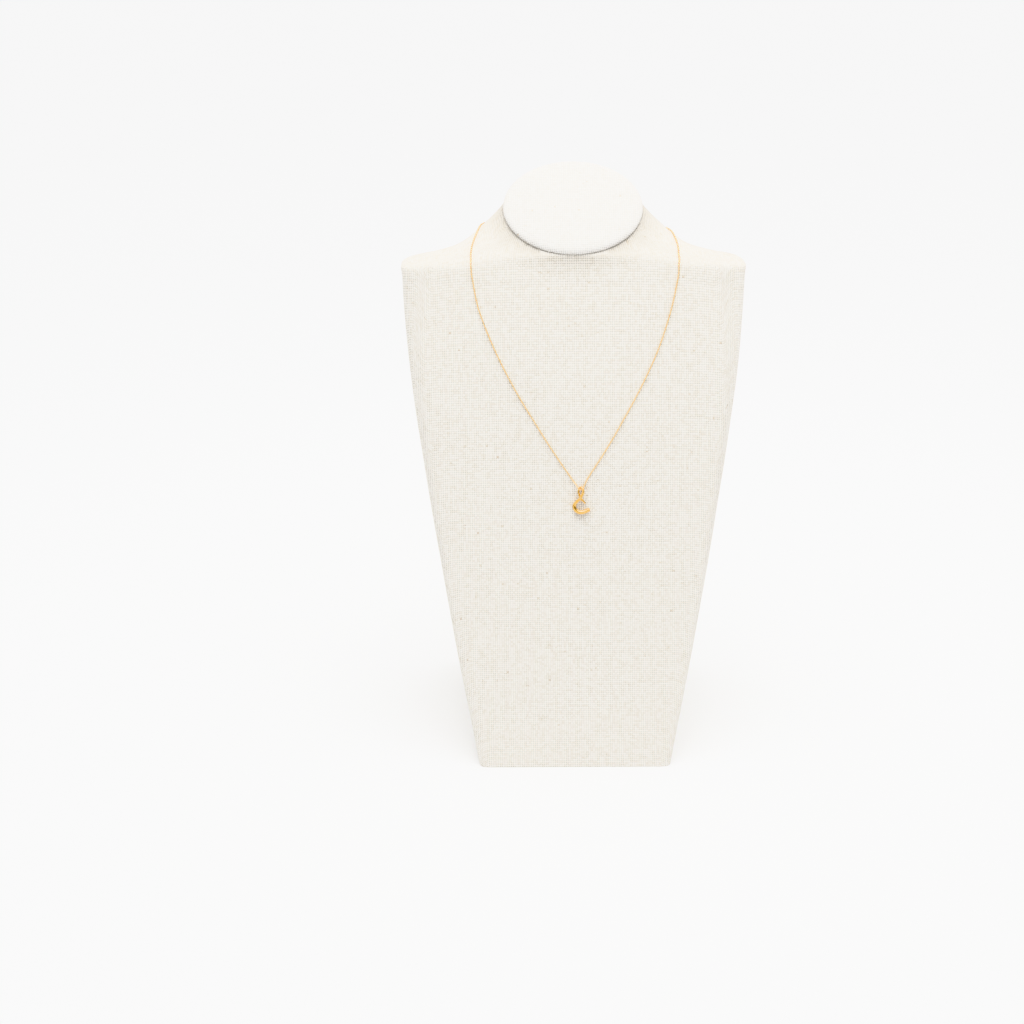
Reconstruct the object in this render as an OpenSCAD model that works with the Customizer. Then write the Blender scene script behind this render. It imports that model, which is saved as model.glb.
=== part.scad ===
// A gold initial pendant on a fine chain, worn by a linen-covered neck bust.
// Millimetres. +Z is up, the bust faces -Y, and the origin is the middle of its foot,
// on the surface that it stands on.

/* [Bust] */
// Height of the shoulders
shoulder_h = 254; // [200:1:320]
// Width across the shoulders
shoulder_w = 192; // [150:1:240]
// Depth at the shoulders, front to back
shoulder_d = 30; // [22:1:44]
// Width of the foot
foot_w = 108; // [80:1:150]
// Depth of the foot, front to back
foot_d = 124; // [96:1:160]
// Angle that the chest leans back from upright
chest_lean = 20.4; // [12:0.2:26]
// Rise of the neck's top above the shoulders, at its middle
neck_rise = 33.3; // [28:0.1:46]
// Width of the neck's top
neck_w = 76.8; // [60:0.2:90]
// Depth of the neck's top, measured down its slant
neck_d = 62.3; // [50:0.1:70]
// Slant of the neck's top from level, high at the back
neck_slant = 40; // [20:1:45]
// How far the neck's top sits behind the middle of the shoulders
neck_back = 14.5; // [10:0.1:18]

/* [Cap] */
// Thickness of the padded cap at its rim
cap_t = 3; // [2:0.5:8]
// How far the cap stands out past the neck
cap_lip = 0.6; // [0.4:0.1:3]
// How much the cap's padding swells in the middle
cap_swell = 0.8; // [0.2:0.1:2]

/* [Letter] */
// Height of the letter's bowl, between the middles of its wire
bowl_h = 8; // [6:0.5:16]
// Width of the letter's bowl, between the middles of its wire
bowl_w = 8.7; // [6:0.1:18]
// Height of the loop over the bowl, between the middles of its wire
loop_h = 5.8; // [5:0.1:10]
// Width of the loop, between the middles of its wire
loop_w = 2.8; // [2.4:0.1:5]
// Thickness of the wire in the bowl, where it is fullest
wire_d = 2; // [1.4:0.1:2.6]
// How far the letter hangs to the right of the bust's middle
letter_x = 3.2; // [-10:0.1:10]
// Height of the letter's crossing, as a share of the shoulders' height
letter_up = 0.559; // [0.5:0.001:0.57]

/* [Chain] */
// Width of the chain
chain_d = 0.9; // [0.6:0.1:1.2]

/* [Clasp] */
// Outside diameter of the spring ring
clasp_d = 5.6; // [4.8:0.1:8]
// Thickness of the spring ring's tube
clasp_t = 1; // [0.8:0.1:1.4]
// Outside diameter of the spring ring's eye
eye_d = 2.2; // [2:0.1:3]
// Outside diameter of the chain's end link
end_link_d = 2.45; // [2.2:0.05:3.2]
// Outside diameter of the catch ring
catch_d = 3.4; // [3.2:0.1:5]
// Thickness of the wire of the small rings
ring_wire = 0.5; // [0.4:0.05:0.6]

/* [Clearances] */
// Gap under metal that lies on the linen
cloth_gap = 0.25; // [0.2:0.05:0.4]
// Gap between one piece of metal and the next
metal_gap = 0.15; // [0.1:0.05:0.3]
// Gap at the seam between neck and cap
seam_gap = 0.3; // [0.2:0.1:0.6]

/* [Hidden] */
linen = [0.90, 0.87, 0.81];
linen_light = [0.94, 0.92, 0.87];
gold = [0.88, 0.66, 0.28];

// Sides of the meshed shapes, around each ring
bust_sides = 64;
cap_sides = 56;
letter_sides = 12;
chain_sides = 8;

// Vectors

function unit(v) = v / norm(v);

// Point t of the way from row i to the next, on a curve through all the rows
function curve_at(rows, i, t) =
    let (
        before = rows[max(i - 1, 0)],
        from = rows[i],
        to = rows[i + 1],
        after = rows[min(i + 2, len(rows) - 1)]
    )
    from + t * (to - before
        + t * (2 * before - 5 * from + 4 * to - after
            + t * (3 * from - 3 * to + after - before))) / 2;

function curve(rows, steps) = [
    for (i = [0 : len(rows) - 2])
        for (j = [0 : steps - 1])
            curve_at(rows, i, j / steps),
    rows[len(rows) - 1]
];

// Skin over a pile of rings that all have as many points, closed by its first and last ring.
// The closing faces start at a corner, because the points along a flat side are in line.
module skin_over(rings) {
    sides = len(rings[0]);
    last = len(rings) - 1;
    walls = [
        for (i = [0 : last - 1])
            for (k = [0 : sides - 1])
                let (next = (k + 1) % sides)
                [i * sides + k, (i + 1) * sides + k, (i + 1) * sides + next, i * sides + next]
    ];
    corner = round(sides / 8);
    floor_face = [for (k = [0 : sides - 1]) (k + corner) % sides];
    top_face = [for (k = [sides : -1 : 1]) last * sides + (k + corner) % sides];
    polyhedron([for (ring = rings) each ring], concat([floor_face], walls, [top_face]), convexity = 6);
}

// The bust is lofted through sections, one row each, from the foot to the neck's top.
// up is the height: 0 at the foot, 1 at the shoulders, 2 at the neck's top.
// wide and deep run on the same scale between the named widths and depths.
// slant is the share of the neck's slant, and square is 2 for an oval and more for a box.
// steps is how many rings are laid from this row to the next.
UP = 0;
WIDE = 1;
DEEP = 2;
SLANT = 3;
SQUARE = 4;
STEPS = 5;
sections = [
    [0.00, 0.000, 0.000, 0.00, 30.0, 1],
    [0.24, 0.300, 0.240, 0.00, 24.0, 1],
    [0.48, 0.570, 0.480, 0.00, 18.0, 1],
    [0.70, 0.795, 0.700, 0.00, 12.5, 2],
    [0.84, 0.914, 0.840, 0.00, 8.4, 2],
    [0.92, 0.961, 0.920, 0.00, 5.6, 2],
    [0.97, 0.980, 0.968, 0.00, 4.6, 2],
    [1.00, 0.986, 1.000, 0.00, 4.4, 2],
    [1.08, 0.994, 1.013, 0.01, 4.4, 2],
    [1.15, 1.000, 1.027, 0.03, 4.3, 2],
    [1.21, 1.053, 1.040, 0.05, 4.4, 3],
    [1.28, 1.305, 1.062, 0.09, 4.6, 3],
    [1.36, 1.515, 1.101, 0.17, 4.8, 3],
    [1.46, 1.650, 1.180, 0.32, 4.5, 3],
    [1.58, 1.765, 1.311, 0.51, 4.0, 2],
    [1.70, 1.870, 1.481, 0.69, 3.3, 2],
    [1.81, 1.940, 1.659, 0.82, 2.7, 2],
    [1.91, 1.980, 1.834, 0.92, 2.3, 2],
    [2.00, 2.000, 2.000, 1.00, 2.0, 0]
];
last_section = len(sections) - 1;
neck_h = shoulder_h + neck_rise;
shoulder_y = shoulder_h * tan(chest_lean) + (shoulder_d - foot_d) / 2;

function between(share, foot, shoulder, neck) =
    share < 1 ? foot + (shoulder - foot) * share : shoulder + (neck - shoulder) * (share - 1);

// The same rows in millimetres and degrees, with the middle of each section first
HEIGHT = 0;
MIDDLE_Y = 1;
HALF_W = 2;
HALF_D = 3;
TILT = 4;
CORNERS = 5;
sized = [
    for (row = sections) [
        between(row[UP], 0, shoulder_h, neck_h),
        between(row[UP], 0, shoulder_y, shoulder_y + neck_back),
        between(row[WIDE], foot_w, shoulder_w, neck_w) / 2,
        between(row[DEEP], foot_d, shoulder_d, neck_d) / 2,
        row[SLANT] * neck_slant,
        row[SQUARE]
    ]
];

function row_below(height, i = 0) =
    i >= last_section - 1 || sized[i + 1][HEIGHT] > height ? i : row_below(height, i + 1);

function rise(column, i) =
    (sized[i + 1][column] - sized[i][column]) / (sized[i + 1][HEIGHT] - sized[i][HEIGHT]);

// Slope of a column at row i, level where it turns back, so that the curve never overshoots
function slope(column, i) =
    i == 0 ? rise(column, 0)
    : i == last_section ? rise(column, last_section - 1)
    : let (below = rise(column, i - 1), above = rise(column, i))
        below * above <= 0 ? 0 : 2 * below * above / (below + above);

function read(column, i, height) =
    let (
        gap = sized[i + 1][HEIGHT] - sized[i][HEIGHT],
        t = (height - sized[i][HEIGHT]) / gap,
        u = 1 - t
    )
    sized[i][column] * u * u * (1 + 2 * t)
    + sized[i + 1][column] * t * t * (3 - 2 * t)
    + gap * t * u * (slope(column, i) * u - slope(column, i + 1) * t);

// The section at a height, with the columns of the sized rows
function section(up) =
    let (height = between(up, 0, shoulder_h, neck_h), i = row_below(height))
    [height, for (column = [MIDDLE_Y : CORNERS]) read(column, i, height)];

// Point of a section at an angle round it: 0 is the front, 90 the right side, 180 the back
function round_section(s, turn) =
    let (
        corners = s[CORNERS],
        reach = pow(pow(abs(sin(turn)), corners) + pow(abs(cos(turn)), corners), -1 / corners),
        back = -s[HALF_D] * reach * cos(turn)
    )
    [
        s[HALF_W] * reach * sin(turn),
        s[MIDDLE_Y] + back * cos(s[TILT]),
        s[HEIGHT] + back * sin(s[TILT])
    ];

// The points of a ring crowd towards its corners, the more so the squarer it is
corner_pull = 11;

function section_ring(s, sides) = [
    for (k = [0 : sides - 1])
        let (even = 360 * k / sides)
        round_section(s, even + corner_pull * (1 - 2 / s[CORNERS]) * sin(4 * even))
];

function on_bust(up, turn) = round_section(section(up), turn);

// Outward direction of the linen
function bust_normal(up, turn) =
    let (up_step = 0.01, turn_step = 0.5)
    unit(cross(
        on_bust(up, turn + turn_step) - on_bust(up, turn - turn_step),
        on_bust(min(up + up_step, 2), turn) - on_bust(max(up - up_step, 0), turn)
    ));

// A place over the linen: [up, turn, distance from it]
function over_bust(place) =
    on_bust(place[0], place[1]) + place[2] * bust_normal(place[0], place[1]);

function turn_at(up, x) =
    let (s = section(up), share = x / s[HALF_W], corners = s[CORNERS])
    atan2(share, pow(1 - pow(abs(share), corners), 1 / corners));

// The place that is x to the right of the letter's crossing and rise up the chest from it
function by_letter(x, rise, proud) =
    let (up = letter_up + rise * cos(chest_lean) / shoulder_h)
    [up, turn_at(up, letter_x + x), proud];

module bust_body() {
    rings = [
        for (i = [0 : last_section - 1])
            for (j = [0 : sections[i][STEPS] - 1])
                let (t = j / sections[i][STEPS])
                sections[i][UP] * (1 - t) + sections[i + 1][UP] * t,
        2
    ];
    color(linen)
        skin_over([for (up = rings) section_ring(section(up), bust_sides)]);
}

// The cap is a flat pad with a rounded rim, square to the neck's slant
cap_rim = cap_t / 2;

function cap_ring(inset, lift) =
    let (top = section(2))
    section_ring([
        top[HEIGHT] + lift * cos(neck_slant),
        top[MIDDLE_Y] - lift * sin(neck_slant),
        top[HALF_W] + cap_lip - inset,
        top[HALF_D] + cap_lip - inset,
        top[TILT],
        top[CORNERS]
    ], cap_sides);

module neck_cap() {
    pad = neck_d / 2 + cap_lip - cap_rim;
    rim = [
        for (a = [-90 : 30 : 90])
            cap_ring(cap_rim * (1 - cos(a)), seam_gap + cap_rim * (1 + sin(a)))
    ];
    swell = [
        for (a = [20, 40, 60])
            cap_ring(cap_rim + pad * (1 - cos(a)), seam_gap + cap_t + cap_swell * sin(a))
    ];
    color(linen_light)
        skin_over(concat(rim, swell));
}

// Ring of a wire at a point. The ring is square to along, and its first point lies sideways.
function wire_ring(point, along, facing, radius, sides) =
    let (
        side = unit(cross(facing, along)),
        out = cross(along, side)
    )
    [for (k = [0 : sides - 1])
        let (a = 360 * k / sides)
        point + radius * (cos(a) * side + sin(a) * out)];

function along_path(points, i) =
    unit(points[min(i + 1, len(points) - 1)] - points[max(i - 1, 0)]);

// The letter is one wire. It starts at the tip of the upper arm, passes behind itself, goes
// up the left side of the loop, over its top and down its right side, crosses in front of
// its start, and goes down round the bowl to a blunt end.
// across and up are shares of the bowl's width and height below the crossing, and of the
// loop's above it. lift is the height of the wire's middle over the linen and thick is the
// wire's thickness, both as shares of the wire's full thickness.
ACROSS = 0;
RISE = 1;
LIFT = 2;
THICK = 3;
letter_rows = [
    [0.29, -0.36, 0.50, 0.38],
    [0.16, -0.20, 0.48, 0.52],
    [0.00, 0.00, 0.46, 0.56],
    [-0.38, 0.54, 0.42, 0.50],
    [-0.27, 0.85, 0.50, 0.50],
    [0.10, 1.00, 0.78, 0.52],
    [0.48, 0.85, 1.10, 0.58],
    [0.50, 0.55, 1.22, 0.62],
    [0.24, 0.24, 1.16, 0.64],
    [0.00, 0.00, 1.14, 0.66],
    [-0.17, -0.17, 1.06, 0.74],
    [-0.34, -0.37, 0.86, 0.88],
    [-0.40, -0.56, 0.68, 0.96],
    [-0.35, -0.77, 0.65, 0.98],
    [-0.20, -0.94, 0.65, 1.00],
    [0.04, -1.00, 0.65, 1.00],
    [0.29, -0.94, 0.65, 1.00],
    [0.54, -0.82, 0.65, 0.98]
];
letter_tip_round = 0.15 * wire_d;
letter_steps = 4;

// The same row in millimetres from the crossing, with the wire's radius as its thickness
function letter_size(row) = [
    row[ACROSS] * (row[RISE] > 0 ? loop_w : bowl_w),
    row[RISE] * (row[RISE] > 0 ? loop_h : bowl_h),
    row[LIFT] * wire_d,
    row[THICK] * wire_d / 2
];

module letter_c() {
    rows = curve([for (row = letter_rows) letter_size(row)], letter_steps);
    points = [for (row = rows) over_bust(by_letter(row[ACROSS], row[RISE], row[LIFT]))];
    facing = bust_normal(letter_up, turn_at(letter_up, letter_x));
    last = len(points) - 1;
    tip_turns = [20, 50, 80];
    start_cap = [
        for (k = [2 : -1 : 0])
            let (a = tip_turns[k], way = along_path(points, 0), bite = letter_tip_round)
            wire_ring(points[0] - way * bite * sin(a), way, facing,
                rows[0][THICK] - bite * (1 - cos(a)), letter_sides)
    ];
    body = [
        for (i = [0 : last])
            wire_ring(points[i], along_path(points, i), facing, rows[i][THICK], letter_sides)
    ];
    end_cap = [
        for (a = tip_turns)
            let (way = along_path(points, last), bite = letter_tip_round)
            wire_ring(points[last] + way * bite * sin(a), way, facing,
                rows[last][THICK] - bite * (1 - cos(a)), letter_sides)
    ];
    color(gold)
        skin_over(concat(start_cap, body, end_cap));
}

// The clasp's rings lie along a line across the back of the neck
back_up = 1.50;
back_normal = bust_normal(back_up, 180);
ring_tilt = 50;
back_lift = cloth_gap + catch_d / 2 * sin(ring_tilt);
clasp_edge = clasp_d / 2;
clasp_middle_d = clasp_d - clasp_t;
eye_sunk = 0.9 * ring_wire;
eye_x = -clasp_edge + eye_sunk - eye_d / 2;
end_link_x = eye_x + ring_wire / 2 - end_link_d / 2;
catch_x = clasp_edge - clasp_t - 1.5 * metal_gap - ring_wire + catch_d / 2;
chain_end_left = end_link_x - end_link_d / 2 - metal_gap;
chain_end_right = catch_x + catch_d / 2 + metal_gap;
ring_facets = 48;
wire_facets = 24;

module wire_loop(outside_d, wire) {
    rotate_extrude($fn = ring_facets)
        translate([(outside_d - wire) / 2, 0])
            circle(d = wire, $fn = wire_facets);
}

// Children drawn flat on XY are laid over the back of the neck, x to the right of its middle
module at_back(x) {
    translate(over_bust([back_up, 180, back_lift]) + [x, 0, 0])
        rotate([atan2(-back_normal[1], back_normal[2]), 0, 0])
            children();
}

module clasp() {
    knob_d = clasp_t * 0.6;
    knob_h = clasp_t * 1.1;
    knob_turn = 65;
    color(gold)
        at_back(0) {
            wire_loop(clasp_d, clasp_t);
            translate([eye_x, 0, 0])
                wire_loop(eye_d, ring_wire);
            rotate([0, 90, knob_turn])
                translate([0, 0, clasp_middle_d / 2])
                    cylinder(d = knob_d, h = knob_h, $fn = wire_facets);
        }
}

module end_link() {
    color(gold)
        at_back(end_link_x)
            rotate([ring_tilt, 0, 0])
                wire_loop(end_link_d, ring_wire);
}

module catch_ring() {
    color(gold)
        at_back(catch_x)
            rotate([ring_tilt, 0, 0])
                wire_loop(catch_d, ring_wire);
}

// The chain's way round the bust, from the back of the neck to just above the letter.
// up is the height on the bust's scale, and turn the angle round the section, from the
// front, at which each half of the chain lies.
LEFT_UP = 0;
LEFT_TURN = 1;
RIGHT_UP = 2;
RIGHT_TURN = 3;
chain_route = [
    [1.515, 160, 1.505, 160],
    [1.535, 143, 1.508, 143],
    [1.56, 129, 1.507, 129],
    [1.568, 117, 1.497, 117],
    [1.553, 105.5, 1.488, 105],
    [1.527, 93, 1.478, 93],
    [1.505, 77, 1.471, 78],
    [1.488, 65, 1.463, 64],
    [1.45, 54.5, 1.43, 53.5],
    [1.36, 44.3, 1.34, 43.5],
    [1.245, 34.2, 1.228, 33.3],
    [1.14, 31.1, 1.12, 31.6],
    [1.014, 30.9, 1, 31.4],
    [0.941, 29.2, 0.94, 29.6],
    [0.861, 25.3, 0.859, 26.4],
    [0.779, 19.9, 0.778, 21.7],
    [0.698, 12.6, 0.697, 15.3],
    [0.65, 7.5, 0.65, 10.8]
];
chain_steps = 2;
// The tube runs straight from ring to ring, and so cuts this far inside the neck's curve
ring_turn = 10;
chain_bow = neck_w / 2 * (1 - cos(ring_turn / 2));
on_cloth = chain_d / 2 + cloth_gap + chain_bow;

// Heights at which the chain clears the loop: in front of its left side, behind its right
loop_left = letter_size(letter_rows[4]);
loop_top = letter_size(letter_rows[5]);
loop_right = letter_size(letter_rows[6]);
over_loop = loop_left[LIFT] + loop_left[THICK] + chain_d / 2 + metal_gap;
under_loop = loop_right[LIFT] - loop_right[THICK] - chain_d / 2 - metal_gap;
chain_low = loop_top[RISE] - loop_top[THICK] - chain_d / 2 - 2 * metal_gap;

// The chain's way through the loop, left to right. across and rise are shares of the loop's
// width and height, from the crossing and from the chain's lowest point. lift is 1 in front
// of the loop's left side and 0 behind its right, and below 0 the chain lies on the linen.
bight_rows = [
    [-1.87, 1.14, -1],
    [-0.83, 0.45, 0.72],
    [-0.30, 0.09, 1.18],
    [0.10, 0.00, 0.50],
    [0.44, 0.05, -0.05],
    [0.84, 0.45, -1],
    [1.55, 1.14, -1]
];

module chain() {
    left_end = [back_up, -180 - turn_at(back_up, chain_end_left), back_lift];
    right_end = [back_up, 180 - turn_at(back_up, chain_end_right), back_lift];
    left_side = [for (row = chain_route) [row[LEFT_UP], -row[LEFT_TURN], on_cloth]];
    right_side = [for (k = [len(chain_route) - 1 : -1 : 0])
        [chain_route[k][RIGHT_UP], chain_route[k][RIGHT_TURN], on_cloth]];
    bight = [
        for (row = bight_rows)
            by_letter(row[ACROSS] * loop_w, chain_low + row[RISE] * loop_h,
                max(on_cloth, under_loop + row[LIFT] * (over_loop - under_loop)))
    ];
    places = curve(concat([left_end], left_side, bight, right_side, [right_end]), chain_steps);
    points = [for (place = places) over_bust(place)];
    color(gold)
        skin_over([
            for (i = [0 : len(points) - 1])
                wire_ring(points[i], along_path(points, i), bust_normal(places[i][0], places[i][1]),
                    chain_d / 2, chain_sides)
        ]);
}

bust_body();
neck_cap();
chain();
letter_c();
clasp();
end_link();
catch_ring();
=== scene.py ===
# %% [markdown]
# This scene dresses a gold initial pendant, its fine chain and the neck bust that wears it.
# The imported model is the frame: it says how big each piece is and where it goes. Every
# piece below is built in that same frame, in metres, with +Z up and the chest facing -Y.

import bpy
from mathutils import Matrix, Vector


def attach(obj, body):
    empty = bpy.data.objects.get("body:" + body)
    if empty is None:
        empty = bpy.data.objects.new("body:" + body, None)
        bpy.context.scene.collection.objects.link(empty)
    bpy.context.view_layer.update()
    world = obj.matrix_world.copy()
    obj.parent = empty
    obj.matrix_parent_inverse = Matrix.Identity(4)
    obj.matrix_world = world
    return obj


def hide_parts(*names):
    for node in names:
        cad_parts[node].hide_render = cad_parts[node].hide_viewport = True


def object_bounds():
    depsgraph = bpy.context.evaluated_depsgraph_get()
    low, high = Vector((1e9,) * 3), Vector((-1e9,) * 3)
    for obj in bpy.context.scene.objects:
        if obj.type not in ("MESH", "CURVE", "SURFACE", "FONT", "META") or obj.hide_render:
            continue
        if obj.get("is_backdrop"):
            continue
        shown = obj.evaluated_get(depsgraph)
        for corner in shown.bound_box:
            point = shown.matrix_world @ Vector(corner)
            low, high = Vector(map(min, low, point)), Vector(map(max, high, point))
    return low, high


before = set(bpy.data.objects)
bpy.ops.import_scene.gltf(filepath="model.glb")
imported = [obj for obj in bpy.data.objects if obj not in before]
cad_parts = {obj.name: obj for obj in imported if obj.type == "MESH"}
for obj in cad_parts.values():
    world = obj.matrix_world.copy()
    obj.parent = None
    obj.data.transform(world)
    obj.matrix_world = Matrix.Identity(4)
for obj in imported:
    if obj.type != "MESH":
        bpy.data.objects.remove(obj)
cad_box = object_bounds()
print("CAD box", [[round(x, 4) for x in corner] for corner in cad_box])

# %% [markdown]
# The shapes are worked out in millimetres, because that is how a jeweller and a form maker
# measure them, and become metres only when a mesh is made.

# %% Tools for the whole script
import math

import bpy
import numpy as np
from mathutils import Matrix, Vector

MM = 0.001


def unit(v):
    return v / np.linalg.norm(v, axis=-1, keepdims=True)


def lay_faces(rings, points):
    """Quads between neighbouring rings that all have as many points."""
    faces = []
    for r in range(rings - 1):
        for c in range(points):
            after = (c + 1) % points
            faces.append((r * points + c, r * points + after,
                          (r + 1) * points + after, (r + 1) * points + c))
    return faces


def make_piece(name, points, faces, corners_uv=None):
    """A smooth mesh object from points in millimetres, with cloth places for its corners."""
    mesh = bpy.data.meshes.new(name)
    mesh.from_pydata((np.asarray(points) * MM).tolist(), [], faces)
    if corners_uv is not None:
        layer = mesh.uv_layers.new(name="cloth")
        layer.data.foreach_set("uv", (np.asarray(corners_uv) * MM).ravel())
    mesh.polygons.foreach_set("use_smooth", [True] * len(mesh.polygons))
    mesh.validate()
    mesh.update()
    piece = bpy.data.objects.new(name, mesh)
    bpy.context.scene.collection.objects.link(piece)
    print(name, len(mesh.vertices), "points,", len(mesh.polygons), "faces")
    return piece


print("Blender", bpy.app.version_string, "works in metres, so a millimetre is", MM)

# %% [markdown]
# The camera stands where the photographer's did: a little left of the middle, three quarters
# of a metre in front and looking down at the chest. Its height, distance and tilt were
# worked out from the bust's outline.

# %% Camera
CAMERA_PLACE = (-34.8, -771.6, 474.6)
CAMERA_DOWN = 24.1
CAMERA_ROLL = -0.28
CAMERA_FOCAL_PIXELS = 1500
IMAGE_PIXELS = 1024
SENSOR = 36.0

camera_data = bpy.data.cameras.new("camera")
camera_data.sensor_width = SENSOR
camera_data.lens = SENSOR * CAMERA_FOCAL_PIXELS / IMAGE_PIXELS
camera = bpy.data.objects.new("camera", camera_data)
camera.matrix_world = (
    Matrix.Translation(Vector(CAMERA_PLACE) * MM)
    @ Matrix.Rotation(math.radians(90 - CAMERA_DOWN), 4, "X")
    @ Matrix.Rotation(math.radians(CAMERA_ROLL), 4, "Z")
)
bpy.context.scene.collection.objects.link(camera)
bpy.context.scene.camera = camera
print("lens", round(camera_data.lens, 2), "mm")

# %% [markdown]
# The bust is a padded form with linen drawn tight over it. A form maker would shape it from
# cross sections, so it is lofted here through the same sections as the solid, with rings
# close enough for a smooth outline. In the table, up is 0 at the foot, 1 at the shoulders
# and 2 at the neck's top, and wide and deep run on the same scale. Slant is the share of
# the neck's slant, and square is 2 for an oval and more for a box.

# %% Sections of the bust
SHOULDER_H, SHOULDER_W, SHOULDER_D = 254, 192, 30
FOOT_W, FOOT_D = 108, 124
CHEST_LEAN = 20.4
NECK_RISE, NECK_W, NECK_D = 33.3, 76.8, 62.3
NECK_SLANT, NECK_BACK = 40, 14.5
NECK_H = SHOULDER_H + NECK_RISE
SHOULDER_Y = SHOULDER_H * math.tan(math.radians(CHEST_LEAN)) + (SHOULDER_D - FOOT_D) / 2

SECTIONS = np.array([
    # up, wide, deep, slant, square
    [0.00, 0.000, 0.000, 0.00, 30.0],
    [0.24, 0.300, 0.240, 0.00, 24.0],
    [0.48, 0.570, 0.480, 0.00, 18.0],
    [0.70, 0.795, 0.700, 0.00, 12.5],
    [0.84, 0.914, 0.840, 0.00, 8.4],
    [0.92, 0.961, 0.920, 0.00, 5.6],
    [0.97, 0.980, 0.968, 0.00, 4.6],
    [1.00, 0.986, 1.000, 0.00, 4.4],
    [1.08, 0.994, 1.013, 0.01, 4.4],
    [1.15, 1.000, 1.027, 0.03, 4.3],
    [1.21, 1.053, 1.040, 0.05, 4.4],
    [1.28, 1.305, 1.062, 0.09, 4.6],
    [1.36, 1.515, 1.101, 0.17, 4.8],
    [1.46, 1.650, 1.180, 0.32, 4.5],
    [1.58, 1.765, 1.311, 0.51, 4.0],
    [1.70, 1.870, 1.481, 0.69, 3.3],
    [1.81, 1.940, 1.659, 0.82, 2.7],
    [1.91, 1.980, 1.834, 0.92, 2.3],
    [2.00, 2.000, 2.000, 1.00, 2.0],
])


def between(share, foot, shoulder, neck):
    low = foot + (shoulder - foot) * share
    high = shoulder + (neck - shoulder) * (share - 1)
    return np.where(share < 1, low, high)


up, wide, deep, slant, square = SECTIONS.T
SIZED = np.stack([
    between(up, 0, SHOULDER_H, NECK_H),
    between(up, 0, SHOULDER_Y, SHOULDER_Y + NECK_BACK),
    between(wide, FOOT_W, SHOULDER_W, NECK_W) / 2,
    between(deep, FOOT_D, SHOULDER_D, NECK_D) / 2,
    slant * NECK_SLANT,
    square,
], axis=1)
print("sections", len(SIZED), "neck top at", NECK_H, "mm")

# %% [markdown]
# Between two rows the surface follows a smooth curve that never overshoots them: each
# column gets a slope at every row, and a slope is level where the column turns back.

# %% Any section between the rows
RISE = np.diff(SIZED, axis=0) / np.diff(SIZED[:, :1], axis=0)
both = RISE[:-1] * RISE[1:]
total = RISE[:-1] + RISE[1:]
turning = both <= 0
MIDDLE_SLOPES = np.where(turning, 0, 2 * both / np.where(turning, 1, total))
SLOPES = np.vstack([RISE[:1], MIDDLE_SLOPES, RISE[-1:]])


def section(up):
    """Height, middle, half width, half depth, tilt and squareness at a height share."""
    height = float(between(up, 0, SHOULDER_H, NECK_H))
    i = min(np.searchsorted(SIZED[:, 0], height, side="right") - 1, len(SIZED) - 2)
    gap = SIZED[i + 1, 0] - SIZED[i, 0]
    t = (height - SIZED[i, 0]) / gap
    u = 1 - t
    return (SIZED[i] * u * u * (1 + 2 * t) + SIZED[i + 1] * t * t * (3 - 2 * t)
            + gap * t * u * (SLOPES[i] * u - SLOPES[i + 1] * t))


def round_section(row, turn):
    """Points of a section at angles round it: 0 is the front, 90 the right side."""
    height, middle_y, half_w, half_d, tilt, corners = row
    sine, cosine = np.sin(np.radians(turn)), np.cos(np.radians(turn))
    reach = (np.abs(sine) ** corners + np.abs(cosine) ** corners) ** (-1 / corners)
    back = -half_d * reach * cosine
    tilt = math.radians(tilt)
    return np.stack([half_w * reach * sine,
                     middle_y + back * math.cos(tilt),
                     height + back * math.sin(tilt)], axis=-1)


def on_bust(up, turn):
    return round_section(section(up), np.asarray(turn, float))


def bust_normal(up, turn):
    """Outward direction of the linen."""
    up_step, turn_step = 0.01, 0.5
    along = on_bust(up, turn + turn_step) - on_bust(up, turn - turn_step)
    rising = on_bust(min(up + up_step, 2), turn) - on_bust(max(up - up_step, 0), turn)
    return unit(np.cross(along, rising))


def over_bust(up, turn, distance):
    return on_bust(up, turn) + distance * bust_normal(up, turn)


print("shoulder point", on_bust(1, 90).round(1))

# %% [markdown]
# The linen is one sheet that wraps from the middle of the chest round to a seam behind.
# Its threads have to keep their real pitch all over, so each corner of the mesh is given
# its place on the flat cloth: how far round from the front, and how far up from the hem. The
# cloth is pulled upwards over the shoulders, so its rows of weft lie further apart there.

# %% Places on the cloth
CLOTH_PULL = 0.16


def cloth_places(grid):
    """Distance round from the front column and up from the first ring, per point."""
    points = grid.shape[1]
    closed = np.concatenate([grid, grid[:, :1]], axis=1)
    steps = np.linalg.norm(np.diff(closed, axis=1), axis=2)
    round_it = np.concatenate([np.zeros((len(grid), 1)), np.cumsum(steps, axis=1)], axis=1)
    tangent = unit(np.roll(grid, -1, axis=1) - np.roll(grid, 1, axis=1))
    rising = np.diff(grid, axis=0)
    middle = unit(tangent[1:] + tangent[:-1])
    across = rising - (rising * middle).sum(axis=2, keepdims=True) * middle
    climb = np.linalg.norm(across, axis=2)
    up_it = np.concatenate([np.zeros((1, points)), np.cumsum(climb, axis=0)], axis=0)
    up_it = up_it * (1 + CLOTH_PULL * (1 - up_it / up_it[-1]))
    return round_it, np.concatenate([up_it, up_it[:, :1]], axis=1)


def cloth_corners(grid):
    """Cloth places for the corners of lay_faces, with the seam at the back column."""
    round_it, up_it = cloth_places(grid)
    rings, points = grid.shape[:2]
    corners = []
    for r in range(rings - 1):
        for c in range(points):
            behind = c >= SEAM_COLUMN
            for row, column in ((r, c), (r, c + 1), (r + 1, c + 1), (r + 1, c)):
                whole = round_it[row, -1] if behind else 0
                corners.append((round_it[row, column] - whole, up_it[row, column]))
    return corners


print("cloth taken per millimetre", 1 + CLOTH_PULL, "at the foot,", 1 - CLOTH_PULL, "at the neck")

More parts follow.
